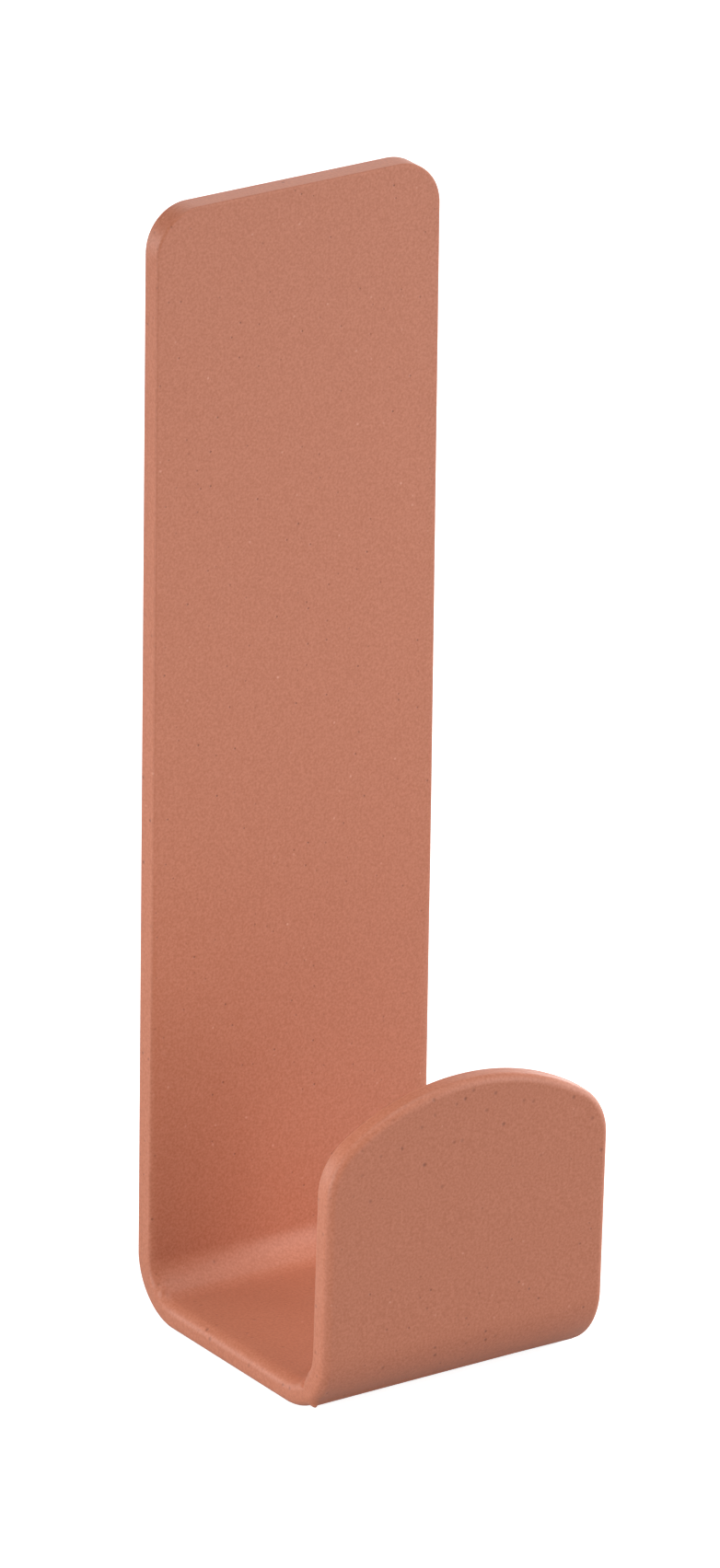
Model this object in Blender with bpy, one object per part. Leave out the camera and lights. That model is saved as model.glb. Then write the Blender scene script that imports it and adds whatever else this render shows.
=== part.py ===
"""Wall hook: a strip of sheet steel folded into a J, held to the wall by a foam adhesive pad.

Lengths are in metres and +Z is up. The wall is the plane Y = 0, and the hook stands out of it
towards -Y. The origin is the middle of the pad's face on the wall.
"""

import math

import bmesh
import bpy
from mathutils import Matrix, Vector

# Sheet steel strip and the powder coat on each of its faces
STRIP_WIDTH = 0.0280
SHEET_THICKNESS = 0.0020
COAT_THICKNESS = 0.00015

# The folded shape over the coat: heights from the shelf's underside, depth from the plate's back
PLATE_HEIGHT = 0.0990
LIP_HEIGHT = 0.0285
HOOK_DEPTH = 0.0291
REAR_BEND_INSIDE_RADIUS = 0.0030
FRONT_BEND_INSIDE_RADIUS = 0.0036
LIP_LEAN = math.radians(1.8)

# Ends of the strip: square end with round corners at the top, three-centred arch on the lip
PLATE_CORNER_RADIUS = 0.0042
LIP_SHOULDER_RADIUS = 0.0055
LIP_CROWN_RISE = 0.0026

# Edge left by blanking: rolled over on the outside of the folds, nearly sharp on the inside
OUTSIDE_EDGE_RADIUS = 0.00065
INSIDE_EDGE_RADIUS = 0.0003

# Double-sided foam pad behind the plate
PAD_THICKNESS = 0.0011
PAD_MARGIN = 0.0020
PAD_CORNER_RADIUS = 0.0025
PAD_TO_PLATE_GAP = 0.0003

# Facets
ARC_STEP = math.radians(5.0)
EDGE_SEGMENTS = 3
WELD_DISTANCE = 0.00001

# Values that follow from the sizes above
STRIP_THICKNESS = SHEET_THICKNESS + 2 * COAT_THICKNESS
HALF_WIDTH = STRIP_WIDTH / 2
REAR_RADIUS = REAR_BEND_INSIDE_RADIUS + STRIP_THICKNESS
FRONT_RADIUS = FRONT_BEND_INSIDE_RADIUS + STRIP_THICKNESS
REAR_TURN = math.pi / 2
FRONT_TURN = math.pi / 2 - LIP_LEAN

# Stations along the outside face of the strip, from the plate's top edge to the lip's crown
PLATE_END = PLATE_HEIGHT - REAR_RADIUS
SHELF_START = PLATE_END + REAR_RADIUS * REAR_TURN
SHELF_END = SHELF_START + HOOK_DEPTH - REAR_RADIUS - FRONT_RADIUS
LIP_START = SHELF_END + FRONT_RADIUS * FRONT_TURN
LIP_START_HEIGHT = FRONT_RADIUS * (1 - math.cos(FRONT_TURN))
LIP_CROWN = LIP_START + (LIP_HEIGHT - LIP_START_HEIGHT) / math.sin(FRONT_TURN)

# The pad covers the flat of the plate's back, less the margin
PAD_WIDTH = STRIP_WIDTH - 2 * PAD_MARGIN
PAD_HEIGHT = PLATE_END - 2 * PAD_MARGIN
PAD_CENTRE_HEIGHT = REAR_RADIUS + PAD_MARGIN + PAD_HEIGHT / 2


def arc(centre_x, centre_y, radius, start, end):
    """Points along an arc, both ends included."""
    steps = math.ceil(abs(end - start) / ARC_STEP - 1e-6)
    angles = [start + (end - start) * i / steps for i in range(steps + 1)]
    return [(centre_x + radius * math.cos(a), centre_y + radius * math.sin(a)) for a in angles]


def mirrored(right_half):
    """Whole outline from its right half, which runs from one end of the strip to the other."""
    left_half = [(-x, y) for x, y in reversed(right_half) if x > WELD_DISTANCE]
    return right_half + left_half


def blank_outline():
    """Outline of the flat blank: x across the strip, y along it from the plate's top edge."""
    corner = arc(
        HALF_WIDTH - PLATE_CORNER_RADIUS, PLATE_CORNER_RADIUS, PLATE_CORNER_RADIUS, -math.pi / 2, 0
    )

    # The shoulder arc touches the strip's side, and the crown arc touches both shoulders
    shoulder_x = HALF_WIDTH - LIP_SHOULDER_RADIUS
    arch_rise = LIP_SHOULDER_RADIUS + LIP_CROWN_RISE
    springing = LIP_CROWN - arch_rise
    crown_radius = (shoulder_x**2 + arch_rise**2 - LIP_SHOULDER_RADIUS**2) / (2 * LIP_CROWN_RISE)
    crown_centre = LIP_CROWN - crown_radius
    tangent_angle = math.atan2(springing - crown_centre, shoulder_x)
    shoulder = arc(shoulder_x, springing, LIP_SHOULDER_RADIUS, 0, tangent_angle)
    crown = arc(0, crown_centre, crown_radius, tangent_angle, math.pi / 2)
    return mirrored(corner + shoulder + crown[1:])


def pad_outline():
    """Rounded rectangle of the pad about its middle."""
    centre_x = PAD_WIDTH / 2 - PAD_CORNER_RADIUS
    centre_y = PAD_HEIGHT / 2 - PAD_CORNER_RADIUS
    lower = arc(centre_x, -centre_y, PAD_CORNER_RADIUS, -math.pi / 2, 0)
    upper = arc(centre_x, centre_y, PAD_CORNER_RADIUS, 0, math.pi / 2)
    return mirrored(lower + upper)


def flat_slab(name, outline, thickness):
    """Closed mesh of a flat outline, with its thickness evenly on both sides of local Z = 0."""
    curve = bpy.data.curves.new(name + "_outline", "CURVE")
    curve.dimensions = "2D"
    curve.fill_mode = "BOTH"
    curve.extrude = thickness / 2
    spline = curve.splines.new("POLY")
    spline.points.add(len(outline) - 1)
    for point, (x, y) in zip(spline.points, outline):
        point.co = (x, y, 0, 1)
    spline.use_cyclic_u = True

    holder = bpy.data.objects.new(name + "_outline", curve)
    bpy.context.scene.collection.objects.link(holder)
    evaluated = holder.evaluated_get(bpy.context.evaluated_depsgraph_get())
    mesh = bpy.data.meshes.new_from_object(evaluated)
    mesh.name = name
    bpy.data.objects.remove(holder)
    bpy.data.curves.remove(curve)

    # The curve's caps come loose and in triangles: they are welded on and made one face each
    bm = bmesh.new()
    bm.from_mesh(mesh)
    bmesh.ops.remove_doubles(bm, verts=bm.verts, dist=WELD_DISTANCE)
    bmesh.ops.dissolve_limit(bm, angle_limit=math.radians(1), verts=[], edges=bm.edges)
    bmesh.ops.recalc_face_normals(bm, faces=bm.faces)
    bm.to_mesh(mesh)
    bm.free()
    return mesh


def round_rim(bm, level, radius):
    """Round the rim of the slab's face that lies at one level."""
    rim = [
        edge
        for edge in bm.edges
        if all(abs(vert.co.z - level) < WELD_DISTANCE for vert in edge.verts)
    ]
    bmesh.ops.bevel(
        bm, geom=rim, offset=radius, segments=EDGE_SEGMENTS, profile=0.5, affect="EDGES"
    )


def folded(x, station, depth):
    """Place in the folded strip of a point of the blank, at a depth under its outside face."""
    if station <= PLATE_END:
        return Vector((x, -depth, PLATE_HEIGHT - station))
    if station <= SHELF_START:
        turn = (station - PLATE_END) / REAR_RADIUS
        radius = REAR_RADIUS - depth
        return Vector(
            (x, radius * math.cos(turn) - REAR_RADIUS, REAR_RADIUS - radius * math.sin(turn))
        )
    if station <= SHELF_END:
        return Vector((x, SHELF_START - station - REAR_RADIUS, depth))

    # Past the shelf the lip runs on straight from where the front bend stops
    turn = min((station - SHELF_END) / FRONT_RADIUS, FRONT_TURN)
    run = max(station - LIP_START, 0)
    radius = FRONT_RADIUS - depth
    y = FRONT_RADIUS - HOOK_DEPTH - radius * math.sin(turn) - run * math.cos(turn)
    z = FRONT_RADIUS - radius * math.cos(turn) + run * math.sin(turn)
    return Vector((x, y, z))


def fold_lines(start, end, turn):
    """Stations of the facets of one bend, both ends included."""
    steps = math.ceil(turn / ARC_STEP - 1e-6)
    return [start + (end - start) * i / steps for i in range(steps + 1)]


def make_hook_body():
    """Blank the strip, round its rims, and fold it at the rear and front bends."""
    mesh = flat_slab("hook_body", blank_outline(), STRIP_THICKNESS)
    bm = bmesh.new()
    bm.from_mesh(mesh)
    round_rim(bm, -STRIP_THICKNESS / 2, min(OUTSIDE_EDGE_RADIUS, 0.45 * STRIP_THICKNESS))
    round_rim(bm, STRIP_THICKNESS / 2, min(INSIDE_EDGE_RADIUS, 0.45 * STRIP_THICKNESS))

    stations = fold_lines(PLATE_END, SHELF_START, REAR_TURN)
    stations += fold_lines(SHELF_END, LIP_START, FRONT_TURN)
    for station in stations:
        everything = bm.verts[:] + bm.edges[:] + bm.faces[:]
        bmesh.ops.bisect_plane(
            bm, geom=everything, dist=1e-7, plane_co=(0, station, 0), plane_no=(0, 1, 0)
        )
    for vert in bm.verts:
        vert.co = folded(vert.co.x, vert.co.y, vert.co.z + STRIP_THICKNESS / 2)

    # The blank lies face down with its top edge at zero, so folding it up mirrors it
    bmesh.ops.reverse_faces(bm, faces=bm.faces)
    bm.to_mesh(mesh)
    bm.free()

    body = bpy.data.objects.new("hook_body", mesh)
    body.location = (0, -PAD_THICKNESS - PAD_TO_PLATE_GAP, -PAD_CENTRE_HEIGHT)
    return body


def make_adhesive_pad():
    """Foam pad, with one face on the wall and the other behind the plate."""
    mesh = flat_slab("adhesive_pad", pad_outline(), PAD_THICKNESS)
    mesh.transform(Matrix.Rotation(math.pi / 2, 4, "X"))
    pad = bpy.data.objects.new("adhesive_pad", mesh)
    pad.location = (0, -PAD_THICKNESS / 2, 0)
    return pad


def principled(name, colour, roughness, metallic):
    """Plain material with the given look."""
    material = bpy.data.materials.new(name)
    material.use_nodes = True
    shader = material.node_tree.nodes["Principled BSDF"]
    shader.inputs["Base Color"].default_value = (*colour, 1)
    shader.inputs["Roughness"].default_value = roughness
    shader.inputs["Metallic"].default_value = metallic
    return material


for old in list(bpy.data.objects):
    bpy.data.objects.remove(old)

hook = bpy.data.collections.new("wall_hook")
bpy.context.scene.collection.children.link(hook)

hook_body = make_hook_body()
hook_body.data.materials.append(principled("terracotta_powder_coat", (0.48, 0.18, 0.115), 0.5, 0.0))
adhesive_pad = make_adhesive_pad()
adhesive_pad.data.materials.append(principled("white_foam", (0.8, 0.79, 0.76), 0.9, 0.0))

for piece in (hook_body, adhesive_pad):
    piece.data.shade_smooth()
    piece.data.set_sharp_from_angle(angle=math.radians(35))
    hook.objects.link(piece)
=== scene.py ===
"""Looks of a terracotta wall hook: a folded strip of powder-coated steel on a foam adhesive pad.

Lengths are in metres, +Z is up, and the hook stands out from the wall towards -Y.
"""

import math
from functools import partial

import bmesh
import bpy
from mathutils import Euler, Matrix, Vector


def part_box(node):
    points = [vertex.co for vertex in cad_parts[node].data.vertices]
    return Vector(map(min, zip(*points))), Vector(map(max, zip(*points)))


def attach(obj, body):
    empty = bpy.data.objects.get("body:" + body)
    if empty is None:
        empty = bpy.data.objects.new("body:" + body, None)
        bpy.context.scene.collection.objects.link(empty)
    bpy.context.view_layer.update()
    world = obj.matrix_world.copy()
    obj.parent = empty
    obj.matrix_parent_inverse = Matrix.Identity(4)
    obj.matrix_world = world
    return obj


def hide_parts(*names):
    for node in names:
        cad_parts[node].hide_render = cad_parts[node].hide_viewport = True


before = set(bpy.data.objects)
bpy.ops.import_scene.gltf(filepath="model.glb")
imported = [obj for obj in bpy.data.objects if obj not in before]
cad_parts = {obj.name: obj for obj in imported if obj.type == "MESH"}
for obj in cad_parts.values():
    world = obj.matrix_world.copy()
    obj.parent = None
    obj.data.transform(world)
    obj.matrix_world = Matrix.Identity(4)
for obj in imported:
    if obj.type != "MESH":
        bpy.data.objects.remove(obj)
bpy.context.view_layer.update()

# Hook body
# A strip of 2 mm sheet steel, blanked with round corners at one end and an arch at the other.
# It is folded twice in a press brake: square at the wall, and a little open under the lip.
body_low, body_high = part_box("hook_body")
strip_width = body_high.x - body_low.x
strip_thickness = 0.0023
top_trim = 0.00013
plate_height = body_high.z - body_low.z - top_trim
lip_height = 0.0285
hook_depth = 0.0291
rear_radius = 0.0053
front_radius = 0.0059
rear_angle = math.radians(90)
front_angle = math.radians(88.2)
side_bulge = 0.00012

plate_corner_radius = 0.0041
lip_shoulder_radius = 0.0055
lip_crown_rise = 0.0026
facet_angle = math.radians(1.25)

# The blank lies flat with its outside face down. Heights on it are measured from the shelf's
# underside up the plate, and they go on below zero past the rear fold.
rear_fold_line = rear_radius
shelf_start = rear_fold_line - rear_radius * rear_angle
shelf_end = shelf_start - (hook_depth - rear_radius - front_radius)
lip_start = shelf_end - front_radius * front_angle
lip_run = (lip_height - front_radius * (1 - math.cos(front_angle))) / math.sin(front_angle)
lip_crown = lip_start - lip_run
rear_fold = (rear_fold_line, rear_radius, rear_angle)
front_fold = (shelf_end, front_radius, front_angle)

# Each rim is set by height on the blank, width across the face and depth. The outside one is
# rolled over by the blanking die, except along the plate's top edge, which is cut off sharper.
outside_rim = (
    (plate_height, 0.0003, 0.0003),
    (0.0950, 0.00075, 0.0007),
    (lip_crown, 0.00075, 0.0007),
)

# The inside rim is left nearly sharp up the plate, and is rubbed down wide and shallow below its
# middle. Past the rear fold it is dressed full round, so that cloth doesn't snag.
inside_rim = (
    (plate_height, 0.0002, 0.0002),
    (0.0420, 0.0002, 0.0002),
    (0.0360, 0.0003, 0.0002),
    (0.0260, 0.0009, 0.00025),
    (rear_fold_line, 0.00095, 0.00035),
    (shelf_start, 0.0013, 0.0010),
    (shelf_end, 0.0014, 0.0011),
    (lip_start, 0.00085, 0.00085),
    (lip_crown, 0.00085, 0.00085),
)
rim_segments = 12

# Stretches of the plate's side where the inside rim widens, with their number of steps
rim_change = (0.0430, 0.0250, 24)
rim_rubbed = (0.0240, 0.0060, 10)


def facets_in(angle):
    """How many facets a turn of this angle takes."""
    return math.ceil(abs(angle) / facet_angle - 1e-6)


def arc_points(centre, radius, start, end):
    """Points of an arc in the blank's plane with their outward directions, both ends included."""
    steps = facets_in(end - start)
    points = []
    for step in range(steps + 1):
        angle = start + (end - start) * step / steps
        outward = Vector((math.cos(angle), math.sin(angle)))
        points.append((centre + radius * outward, outward))
    return points


def side_points(start, end, steps):
    """Points down the strip's side with their outward directions, both ends included."""
    heights = [start + (end - start) * step / steps for step in range(steps + 1)]
    return [(Vector((strip_width / 2, height)), Vector((1, 0))) for height in heights]


def right_outline():
    """Right half of the blank's outline, from the plate's top down to the lip's crown."""
    half_width = strip_width / 2
    corner_centre = Vector((half_width, plate_height)) - Vector((1, 1)) * plate_corner_radius

    # The crown arc touches both shoulder arcs, and each shoulder arc touches the strip's side
    shoulder_x = half_width - lip_shoulder_radius
    rise = lip_shoulder_radius + lip_crown_rise
    crown_radius = (shoulder_x**2 + rise**2 - lip_shoulder_radius**2) / (2 * lip_crown_rise)
    shoulder_centre = Vector((shoulder_x, lip_crown + rise))
    crown_centre = Vector((0, lip_crown + crown_radius))
    touch = math.atan2(shoulder_centre.y - crown_centre.y, shoulder_x)

    points = arc_points(corner_centre, plate_corner_radius, math.pi / 2, 0)
    points += side_points(*rim_change)
    points += side_points(*rim_rubbed)
    points += side_points(rear_fold_line, shelf_start, facets_in(rear_angle))
    points += side_points(shelf_end, lip_start, facets_in(front_angle))
    points += arc_points(shoulder_centre, lip_shoulder_radius, 0, touch)
    return points + arc_points(crown_centre, crown_radius, touch, -math.pi / 2)[1:]


def rim_size(rim, height):
    """Width and depth of a rim at one height on the blank."""
    for (top, *above), (bottom, *below) in zip(rim, rim[1:]):
        if height >= bottom:
            share = (top - height) / (top - bottom)
            return [a + (b - a) * share for a, b in zip(above, below)]
    return rim[-1][1:]


def edge_section(height):
    """Inset and level of each point across the strip's edge, from the outside face inwards."""
    turns = [math.pi / 2 * step / rim_segments for step in range(rim_segments + 1)]
    width, depth = rim_size(outside_rim, height)
    section = [(width * (1 - math.sin(turn)), depth * (1 - math.cos(turn))) for turn in turns]
    width, depth = rim_size(inside_rim, height)
    for turn in reversed(turns):
        level = strip_thickness - depth * (1 - math.cos(turn))
        section.append((width * (1 - math.sin(turn)), level))
    return section


right_half = right_outline()
left_half = [
    (Vector((-point.x, point.y)), Vector((-outward.x, outward.y)))
    for point, outward in right_half[:-1]
]
blank = bmesh.new()
edge_rows = []
for point, outward in right_half + left_half[::-1]:
    row = []
    for inset, level in edge_section(point.y):
        row.append(blank.verts.new((*(point - outward * inset), level)))
    edge_rows.append(row)
for row, next_row in zip(edge_rows, edge_rows[1:] + edge_rows[:1]):
    for i in range(len(row) - 1):
        blank.faces.new((row[i], next_row[i], next_row[i + 1], row[i + 1]))

# The two faces are laid as rungs from side to side, so that every fold bends along its rungs
crown = len(right_half) - 1
for i in range(crown):
    for face in (0, -1):
        rung = [edge_rows[i][face], edge_rows[i + 1][face]]
        if i + 1 < crown:
            rung.append(edge_rows[-2 - i][face])
        blank.faces.new(rung + [edge_rows[-1 - i][face]])
bmesh.ops.recalc_face_normals(blank, faces=blank.faces)

# Small marks where the coat gathers and the folds pinch. Each has its fold, the turn of the fold
# in degrees, its place across the strip and above its outside face, its reach and its shift.
coat_marks = {
    "bead on the lowest corner": (
        front_fold, 36, -0.01355, 0, (0.0004, 0.00035, 0.0008), -0.00042
    ),
    "small bead": (front_fold, 20, 0.0136, 0, (0.0005, 0.0005, 0.0006), -0.00012),
    "nick above the bead": (front_fold, 37, -0.0137, 0.0021, (0.0006, 0.0004, 0.0009), -0.00038),
    "shallow nick": (front_fold, 40, 0.0137, 0.0021, (0.0006, 0.0005, 0.0009), -0.00018),
    "swelling past the nick": (
        front_fold, 57, -0.0137, 0.0021, (0.0005, 0.0005, 0.0008), 0.00014
    ),
    "lump in the rear fold": (rear_fold, 54, -0.0134, 0.0022, (0.0005, 0.0006, 0.0008), 0.00018),
}
for (line, radius, _), turn, across, level, reach, shift in coat_marks.values():
    centre = Vector((across, line - radius * math.radians(turn), level))
    for vert in blank.verts:
        away = vert.co - centre
        vert.co.z += shift * math.exp(-sum((away[axis] / reach[axis]) ** 2 for axis in range(3)))

blank_mesh = bpy.data.meshes.new("hook_body_blank")
blank.to_mesh(blank_mesh)
blank.free()


def add_sockets(tree, in_out, kind, *labels):
    """Give a node group named inputs or outputs of one kind."""
    for label in labels:
        tree.interface.new_socket(label, in_out=in_out, socket_type="NodeSocket" + kind)


def math_node(tree, operation, *values):
    """One Math node, fed with numbers or with other nodes' outputs."""
    node = tree.nodes.new("ShaderNodeMath")
    node.operation = operation
    for socket, value in zip(node.inputs, values):
        if isinstance(value, (int, float)):
            socket.default_value = value
        else:
            tree.links.new(value, socket)
    return node.outputs[0]


# One node tree folds the strip up at a line. It bends the strip round the punch, turns all that
# lies past the line, and lets the squeezed inside of the fold swell out at the strip's sides.
fold = bpy.data.node_groups.new("brake_fold", "GeometryNodeTree")
add_sockets(fold, "INPUT", "Geometry", "Strip")
add_sockets(fold, "INPUT", "Float", "Fold Line", "Outside Radius", "Angle")
add_sockets(fold, "INPUT", "Float", "Thickness", "Width", "Side Bulge")
add_sockets(fold, "INPUT", "Material", "Finish")
add_sockets(fold, "OUTPUT", "Geometry", "Strip")
fold_in = fold.nodes.new("NodeGroupInput").outputs
fold_math = partial(math_node, fold)

place = fold.nodes.new("ShaderNodeSeparateXYZ")
fold.links.new(fold.nodes.new("GeometryNodeInputPosition").outputs[0], place.inputs[0])
past_line = fold_math("SUBTRACT", fold_in["Fold Line"], place.outputs["Y"])
arc_length = fold_math("MULTIPLY", fold_in["Outside Radius"], fold_in["Angle"])
in_arc = fold_math("MAXIMUM", fold_math("MINIMUM", past_line, arc_length), 0)
past_arc = fold_math("SUBTRACT", past_line, in_arc)
turned = fold_math("DIVIDE", in_arc, fold_in["Outside Radius"])
sine = fold_math("SINE", turned)
cosine = fold_math("COSINE", turned)
radius_here = fold_math("SUBTRACT", fold_in["Outside Radius"], place.outputs["Z"])
drop_in_arc = fold_math("MULTIPLY", radius_here, sine)
drop = fold_math("ADD", drop_in_arc, fold_math("MULTIPLY", past_arc, cosine))
folded_y = fold_math("SUBTRACT", fold_in["Fold Line"], drop)
arc_top = fold_math("MULTIPLY", radius_here, cosine)
rise_in_arc = fold_math("SUBTRACT", fold_in["Outside Radius"], arc_top)
folded_z = fold_math("ADD", rise_in_arc, fold_math("MULTIPLY", past_arc, sine))

# The swelling is greatest halfway round the fold, and the outside draws in as the inside swells
share = fold_math("DIVIDE", in_arc, arc_length)
half_window = fold_math("MULTIPLY", share, fold_math("SUBTRACT", 1, share))
window = fold_math("MULTIPLY", half_window, 4)
depth_share = fold_math("DIVIDE", place.outputs["Z"], fold_in["Thickness"])
squeeze = fold_math("MULTIPLY", window, fold_math("MULTIPLY_ADD", depth_share, 2, -1))
swell = fold_math("DIVIDE", fold_math("MULTIPLY", fold_in["Side Bulge"], 2), fold_in["Width"])
swollen = fold_math("MULTIPLY_ADD", squeeze, swell, 1)
folded_x = fold_math("MULTIPLY", place.outputs["X"], swollen)

new_place = fold.nodes.new("ShaderNodeCombineXYZ")
for axis, value in zip("XYZ", (folded_x, folded_y, folded_z)):
    fold.links.new(value, new_place.inputs[axis])
move = fold.nodes.new("GeometryNodeSetPosition")
fold.links.new(fold_in["Strip"], move.inputs["Geometry"])
fold.links.new(new_place.outputs[0], move.inputs["Position"])
smooth = fold.nodes.new("GeometryNodeSetShadeSmooth")
fold.links.new(move.outputs[0], smooth.inputs["Geometry"])
realize = fold.nodes.new("GeometryNodeRealizeInstances")
fold.links.new(smooth.outputs[0], realize.inputs[0])
finish = fold.nodes.new("GeometryNodeSetMaterial")
fold.links.new(realize.outputs[0], finish.inputs["Geometry"])
fold.links.new(fold_in["Finish"], finish.inputs["Material"])
fold.links.new(finish.outputs[0], fold.nodes.new("NodeGroupOutput").inputs["Strip"])

# Powder coat
# Terracotta polyester powder, baked at about 0.15 mm thick on every face. It flows out satin with
# a fine grain, and leaves tiny pits where it degassed, their hollows darkened with painted shade,
# and a few pale specks of uncured powder.
coat_ior = 1.43
deep_terracotta = (0.422, 0.14, 0.0745)
pale_terracotta = (0.51, 0.19, 0.1135)
# The pits' dark brown is painted shade in their hollows, not a colour of the coat
pit_painted_shade = (0.17, 0.05, 0.03)
speck_pink = (0.66, 0.33, 0.24)
coat_roughness = (0.44, 0.52)
grain_depth = 0.00002
pit_depth = 0.00005
pattern_shift = (0.011, 0.023, 0.007)

grain = bpy.data.node_groups.new("fine_grain", "ShaderNodeTree")
add_sockets(grain, "INPUT", "Vector", "Vector")
add_sockets(grain, "INPUT", "Float", "Grain Size", "Waviness Size", "Waviness Share")
add_sockets(grain, "OUTPUT", "Float", "Mottle", "Height")
grain_in = grain.nodes.new("NodeGroupInput").outputs
grain_out = grain.nodes.new("NodeGroupOutput").inputs


def noise_of_size(size, detail):
    """Noise whose features have this size in metres."""
    noise = grain.nodes.new("ShaderNodeTexNoise")
    noise.inputs["Detail"].default_value = detail
    grain.links.new(grain_in["Vector"], noise.inputs["Vector"])
    grain.links.new(math_node(grain, "DIVIDE", 1, size), noise.inputs["Scale"])
    return noise.outputs["Fac"]


fine_noise = noise_of_size(grain_in["Grain Size"], 2)
wave_noise = noise_of_size(grain_in["Waviness Size"], 1)
contrast = grain.nodes.new("ShaderNodeMapRange")
contrast.inputs["From Min"].default_value = 0.3
contrast.inputs["From Max"].default_value = 0.7
grain.links.new(fine_noise, contrast.inputs["Value"])
grain.links.new(contrast.outputs[0], grain_out["Mottle"])
height_mix = grain.nodes.new("ShaderNodeMix")
grain.links.new(grain_in["Waviness Share"], height_mix.inputs["Factor"])
grain.links.new(fine_noise, height_mix.inputs["A"])
grain.links.new(wave_noise, height_mix.inputs["B"])
grain.links.new(height_mix.outputs["Result"], grain_out["Height"])

# Each cell of the pattern may hold one dot, and its random colour draws which, how big and how deep
dots = bpy.data.node_groups.new("scattered_dots", "ShaderNodeTree")
add_sockets(dots, "INPUT", "Vector", "Vector")
add_sockets(dots, "INPUT", "Float", "Spacing", "Dot Radius", "Kept Share")
add_sockets(dots, "OUTPUT", "Float", "Mask")
dots_in = dots.nodes.new("NodeGroupInput").outputs
dots_math = partial(math_node, dots)
smallest_dot = 0.4
faintest_dot = 0.4
dot_softness = 0.1

cells = dots.nodes.new("ShaderNodeTexVoronoi")
dots.links.new(dots_in["Vector"], cells.inputs["Vector"])
dots.links.new(dots_math("DIVIDE", 1, dots_in["Spacing"]), cells.inputs["Scale"])
distance = dots_math("MULTIPLY", cells.outputs["Distance"], dots_in["Spacing"])
draw_node = dots.nodes.new("ShaderNodeSeparateColor")
dots.links.new(cells.outputs["Color"], draw_node.inputs[0])
draw = draw_node.outputs
size_draw = dots_math("ADD", draw["Green"], smallest_dot)
dot_size = dots_math("MULTIPLY", dots_in["Dot Radius"], size_draw)
closeness = dots_math("SUBTRACT", 1, dots_math("DIVIDE", distance, dot_size))
soft_dot = dots_math("SMOOTH_MIN", dots_math("MAXIMUM", closeness, 0), 1, dot_softness)
kept = dots_math("LESS_THAN", draw["Red"], dots_in["Kept Share"])
strength = dots_math("MULTIPLY_ADD", draw["Blue"], 1 - faintest_dot, faintest_dot)
mask = dots_math("MULTIPLY", soft_dot, dots_math("MULTIPLY", kept, strength))
dots.links.new(mask, dots.nodes.new("NodeGroupOutput").inputs["Mask"])


def new_material(name):
    """A new material, with its node tree and its shader."""
    material = bpy.data.materials.new(name)
    material.use_nodes = True
    return material, material.node_tree, material.node_tree.nodes["Principled BSDF"]


def object_place(tree, shift):
    """The piece's own coordinates, with the pattern shifted on them."""
    coordinates = tree.nodes.new("ShaderNodeTexCoord")
    mapping = tree.nodes.new("ShaderNodeMapping")
    mapping.inputs["Location"].default_value = shift
    tree.links.new(coordinates.outputs["Object"], mapping.inputs["Vector"])
    return mapping.outputs[0]


def effect(tree, group, place, **sizes):
    """A shared effect placed in a material with its own sizes."""
    node = tree.nodes.new("ShaderNodeGroup")
    node.node_tree = group
    tree.links.new(place, node.inputs["Vector"])
    for label, size in sizes.items():
        node.inputs[label.replace("_", " ")].default_value = size
    return node.outputs


def colour_mix(tree, factor, first, second):
    """Mix of two colours, each a plain colour or another node's output."""
    node = tree.nodes.new("ShaderNodeMix")
    node.data_type = "RGBA"
    tree.links.new(factor, node.inputs["Factor"])
    first_colour, second_colour, mixed_colour = node.inputs[6], node.inputs[7], node.outputs[2]
    for socket, value in ((first_colour, first), (second_colour, second)):
        if isinstance(value, tuple):
            socket.default_value = (*value, 1)
        else:
            tree.links.new(value, socket)
    return mixed_colour


def bump(tree, height, depth):
    """Bump node of this depth in metres."""
    node = tree.nodes.new("ShaderNodeBump")
    node.inputs["Distance"].default_value = depth
    tree.links.new(height, node.inputs["Height"])
    return node


coat, coat_tree, coat_shader = new_material("satin_terracotta_coat")
coat_shader.inputs["IOR"].default_value = coat_ior
coat_place = object_place(coat_tree, pattern_shift)
coat_effect = partial(effect, coat_tree, place=coat_place)
coat_grain = coat_effect(grain, Grain_Size=0.00022, Waviness_Size=0.0011, Waviness_Share=0.45)
pits_and_pit_shade = coat_effect(dots, Spacing=0.001, Dot_Radius=0.00018, Kept_Share=0.5)["Mask"]
specks = coat_effect(dots, Spacing=0.0015, Dot_Radius=0.00012, Kept_Share=0.4)["Mask"]

coat_tone = colour_mix(coat_tree, coat_grain["Mottle"], deep_terracotta, pale_terracotta)
# Inside each pit the coat's tone is darkened with painted shade
tone_with_painted_pit_shade = colour_mix(coat_tree, pits_and_pit_shade, coat_tone, pit_painted_shade)
speckled_tone = colour_mix(coat_tree, specks, tone_with_painted_pit_shade, speck_pink)
coat_tree.links.new(speckled_tone, coat_shader.inputs["Base Color"])

coat_gloss = coat_tree.nodes.new("ShaderNodeMapRange")
for label, roughness in zip(("To Min", "To Max"), coat_roughness):
    coat_gloss.inputs[label].default_value = roughness
coat_tree.links.new(coat_grain["Mottle"], coat_gloss.inputs["Value"])
coat_tree.links.new(coat_gloss.outputs[0], coat_shader.inputs["Roughness"])

grain_bump = bump(coat_tree, coat_grain["Height"], grain_depth)
pit_bump = bump(coat_tree, pits_and_pit_shade, pit_depth)
pit_bump.invert = True
coat_tree.links.new(grain_bump.outputs[0], pit_bump.inputs["Normal"])
coat_tree.links.new(pit_bump.outputs[0], coat_shader.inputs["Normal"])

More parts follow.
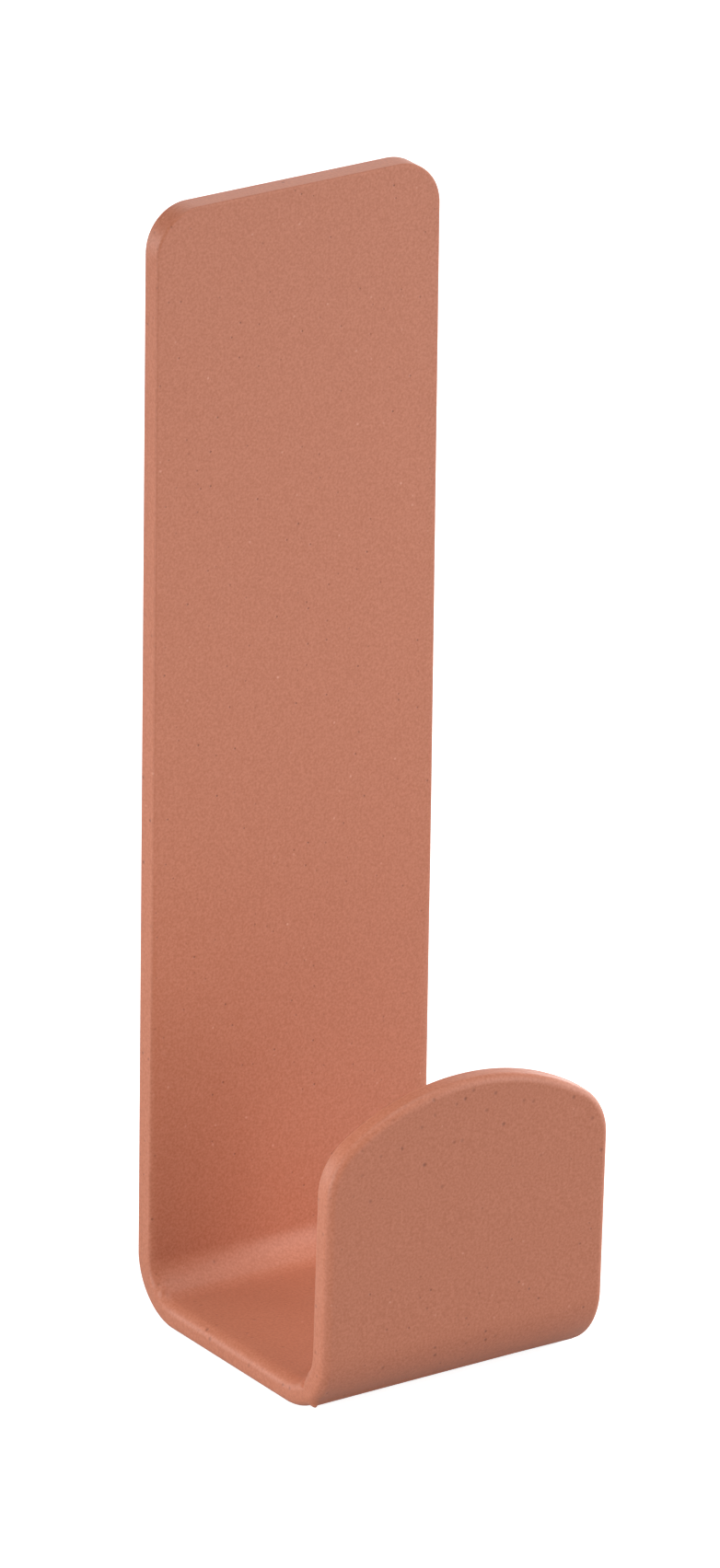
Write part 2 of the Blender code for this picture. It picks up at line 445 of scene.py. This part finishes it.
# The front fold is pressed first, so that the lip clears the punch, and the rear fold after it
hook_body = bpy.data.objects.new("coated_hook_body", blank_mesh)
bpy.context.scene.collection.objects.link(hook_body)
sockets = {
    item.name: item.identifier for item in fold.interface.items_tree if item.in_out == "INPUT"
}
for name, (line, radius, angle) in (("front_fold", front_fold), ("rear_fold", rear_fold)):
    press = hook_body.modifiers.new(name, "NODES")
    press.node_group = fold
    press[sockets["Fold Line"]] = line
    press[sockets["Outside Radius"]] = radius
    press[sockets["Angle"]] = angle
    press[sockets["Thickness"]] = strip_thickness
    press[sockets["Width"]] = strip_width
    press[sockets["Side Bulge"]] = side_bulge
    press[sockets["Finish"]] = coat
hook_body.modifiers.new("true_flats", "WEIGHTED_NORMAL").weight = 100

folded = bpy.data.meshes.new_from_object(
    hook_body.evaluated_get(bpy.context.evaluated_depsgraph_get())
)
folded.name = "coated_hook_body"
hook_body.modifiers.clear()
hook_body.data = folded
back_of_plate = Matrix.Translation((0, body_high.y, body_low.z))
folded.transform(back_of_plate @ Matrix.Rotation(math.radians(90), 4, "X"))
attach(hook_body, "root")
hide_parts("hook_body")

# Adhesive pad
# A die-cut pad of white closed-cell foam with a film of tacky adhesive rolled on both faces.
# One film grips the plate's back, and the other is pressed on the wall.
pad_low, pad_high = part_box("adhesive_pad")
pad_width = pad_high.x - pad_low.x
pad_height = pad_high.z - pad_low.z
pad_corner_radius = 0.0025
film_thickness = 0.00009
film_overhang = 0.00003
film_lap = 0.00001
foam_draw_in = 0.00016
foam_steps = 8
foam_white = (0.82, 0.81, 0.78)
film_white = (0.74, 0.73, 0.69)


def pad_ring(bm, y, inset):
    """Ring of points round the pad's outline at one depth, drawn in by an inset."""
    corner = pad_corner_radius - inset
    reach = Vector((pad_width / 2 - inset - corner, pad_height / 2 - inset - corner))
    points = []
    for quarter in range(4):
        start = quarter * math.pi / 2
        side = Vector((1 if quarter in (0, 3) else -1, 1 if quarter in (0, 1) else -1))
        points += arc_points(reach * side, corner, start, start + math.pi / 2)
    return [bm.verts.new((point.x, y, point.y)) for point, outward in points]


def pad_layer(name, *sections):
    """Closed piece of the pad through rings at (depth, inset), from the wall side inwards."""
    bm = bmesh.new()
    rings = [pad_ring(bm, y, inset) for y, inset in sections]
    for ring, following in zip(rings, rings[1:]):
        for i in range(len(ring)):
            bm.faces.new((ring[i - 1], ring[i], following[i], following[i - 1]))
    bm.faces.new(rings[0])
    bm.faces.new(rings[-1])
    bmesh.ops.recalc_face_normals(bm, faces=bm.faces)
    mesh = bpy.data.meshes.new(name)
    bm.to_mesh(mesh)
    bm.free()
    mesh.shade_smooth()
    mesh.set_sharp_from_angle(angle=math.radians(40))
    layer = bpy.data.objects.new(name, mesh)
    bpy.context.scene.collection.objects.link(layer)
    return layer


def foam_section(step):
    """Depth and inset of the foam at one step through it: its edge is hollow between the films."""
    y = foam_start + (foam_end - foam_start) * step / foam_steps
    return y, film_overhang + foam_draw_in * math.sin(math.pi * step / foam_steps) ** 0.5


foam_start = pad_high.y - film_thickness
foam_end = pad_low.y + film_thickness
foam_core = pad_layer("pad_foam_core", *(foam_section(step) for step in range(foam_steps + 1)))
wall_film = pad_layer(
    "pad_wall_film",
    (pad_high.y, film_overhang),
    (pad_high.y - film_overhang, 0),
    (foam_start + film_lap, 0),
)
plate_film = pad_layer(
    "pad_plate_film",
    (foam_end - film_lap, 0),
    (pad_low.y + film_overhang, 0),
    (pad_low.y, film_overhang),
)


def pad_material(name, colour, roughness, grain_size, bump_depth):
    """Material of one layer of the pad, with the shared grain at its own size."""
    material, tree, shader = new_material(name)
    shader.inputs["Roughness"].default_value = roughness
    texture = effect(
        tree,
        grain,
        object_place(tree, (0, 0, 0)),
        Grain_Size=grain_size,
        Waviness_Size=grain_size * 12,
        Waviness_Share=0.3,
    )
    shaded = tuple(channel * 0.9 for channel in colour)
    tone = colour_mix(tree, texture["Mottle"], shaded, colour)
    tree.links.new(tone, shader.inputs["Base Color"])
    surface = bump(tree, texture["Height"], bump_depth)
    tree.links.new(surface.outputs[0], shader.inputs["Normal"])
    return material


foam = pad_material("closed_cell_foam", foam_white, 0.85, 0.00018, 0.00006)
adhesive = pad_material("adhesive_film", film_white, 0.28, 0.0009, 0.00001)
foam_core.data.materials.append(foam)
for film in (wall_film, plate_film):
    film.data.materials.append(adhesive)
for layer in (foam_core, wall_film, plate_film):
    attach(layer, "root")
    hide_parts("adhesive_pad")

# Floor
# A wide flat sheet of white card, on which the hook stands on the underside of its shelf.
# It looks nearly white to the camera, and the coat's sheen picks up a little of that white.
floor_reach = 3.0
floor_gap = 0.0001
card_tone = 0.5
card_white = 0.9
white_in_sheen = 0.2
floor_mesh = bpy.data.meshes.new("floor")
floor_bm = bmesh.new()
bmesh.ops.create_grid(floor_bm, x_segments=1, y_segments=1, size=floor_reach)
floor_bm.to_mesh(floor_mesh)
floor_bm.free()
floor_mesh.transform(Matrix.Translation((0, 0, body_low.z - floor_gap)))
floor = bpy.data.objects.new("floor", floor_mesh)
bpy.context.scene.collection.objects.link(floor)

card, card_tree, card_shader = new_material("white_card")
card_shader.inputs["Base Color"].default_value = (card_tone, card_tone, card_tone, 1)
card_shader.inputs["Roughness"].default_value = 0.9
card_shader.inputs["Emission Color"].default_value = (1, 1, 1, 1)
rays = card_tree.nodes.new("ShaderNodeLightPath").outputs
mirrored = math_node(card_tree, "MULTIPLY", rays["Is Glossy Ray"], white_in_sheen)
glow = math_node(card_tree, "MULTIPLY_ADD", rays["Is Camera Ray"], card_white, mirrored)
card_tree.links.new(glow, card_shader.inputs["Emission Strength"])
floor_mesh.materials.append(card)

# Studio light
# A tall strip box stands at the right front with a square box above it, and more soft boxes hang
# left, overhead and behind. Three small ones close by lift the lower half of the hook.
aim = Vector((0, -0.014, -0.003))
low_aim = Vector((0, -0.014, -0.033))


def soft_box(name, azimuth, elevation, size, watts, distance=1.2, target=aim):
    """Rectangular soft light at a direction from the hook, turned towards it."""
    lamp = bpy.data.lights.new(name, "AREA")
    lamp.shape = "RECTANGLE"
    lamp.size, lamp.size_y = size
    lamp.energy = watts
    turn = Euler((math.radians(90 - elevation), 0, math.radians(azimuth))).to_matrix()
    place = Matrix.Translation(target + turn @ Vector((0, 0, distance)))
    holder = bpy.data.objects.new(name, lamp)
    holder.matrix_world = place @ turn.to_4x4()
    bpy.context.scene.collection.objects.link(holder)


soft_box("right_strip_box", 39, 18, (0.3, 0.8), 6.1)
soft_box("right_high_box", 56, 54, (0.6, 0.6), 3.2)
soft_box("left_soft_box", -78, 28, (0.5, 0.5), 4.1)
soft_box("overhead_soft_box", 0, 90, (0.6, 0.6), 5.9)
soft_box("rear_left_soft_box", -140, 5, (0.6, 0.6), 6.2)
soft_box("rear_right_soft_box", 120, 5, (0.6, 0.6), 9.0)
soft_box("rear_right_high_box", 150, 30, (0.6, 0.6), 2.2)
soft_box("right_low_box", 32, 0, (0.07, 0.08), 0.085, 0.3, low_aim)
soft_box("right_fill", 75, 10, (0.06, 0.06), 0.1, 0.16, low_aim)
soft_box("left_fill", -75, 5, (0.06, 0.06), 0.12, 0.16, low_aim)

# The room is plain white to the camera, gives no light, and shows faintly in the coat's sheen
world = bpy.data.worlds.new("white_room")
world.use_nodes = True
room = world.node_tree
rays = room.nodes.new("ShaderNodeLightPath").outputs
mirrored = math_node(room, "MULTIPLY", rays["Is Glossy Ray"], white_in_sheen)
seen = math_node(room, "MAXIMUM", rays["Is Camera Ray"], rays["Is Transmission Ray"])
white = math_node(room, "MAXIMUM", seen, mirrored)
room.nodes["Background"].inputs["Color"].default_value = (1, 1, 1, 1)
room.links.new(white, room.nodes["Background"].inputs["Strength"])
bpy.context.scene.world = world

# Camera
# A long lens from the hook's left front, a little above it.
camera_azimuth = math.radians(-33.615)
camera_elevation = math.radians(21.789)
camera_roll = math.radians(0.706)
camera_distance = 1.38
camera_target = Vector((-0.00005, -0.0138, -0.0031))
camera_data = bpy.data.cameras.new("camera")
camera_data.sensor_fit = "VERTICAL"
camera_data.sensor_height = 24
camera_data.lens = 253.57
camera_data.clip_start = 0.01
camera_turn = Euler((math.radians(90) - camera_elevation, 0, camera_azimuth)).to_matrix()
camera_turn = camera_turn @ Matrix.Rotation(camera_roll, 3, "Z")
camera_place = Matrix.Translation(camera_target + camera_turn @ Vector((0, 0, camera_distance)))
camera = bpy.data.objects.new("camera", camera_data)
camera.matrix_world = camera_place @ camera_turn.to_4x4()
bpy.context.scene.collection.objects.link(camera)
bpy.context.scene.camera = camera
bpy.context.scene.view_settings.view_transform = "Standard"
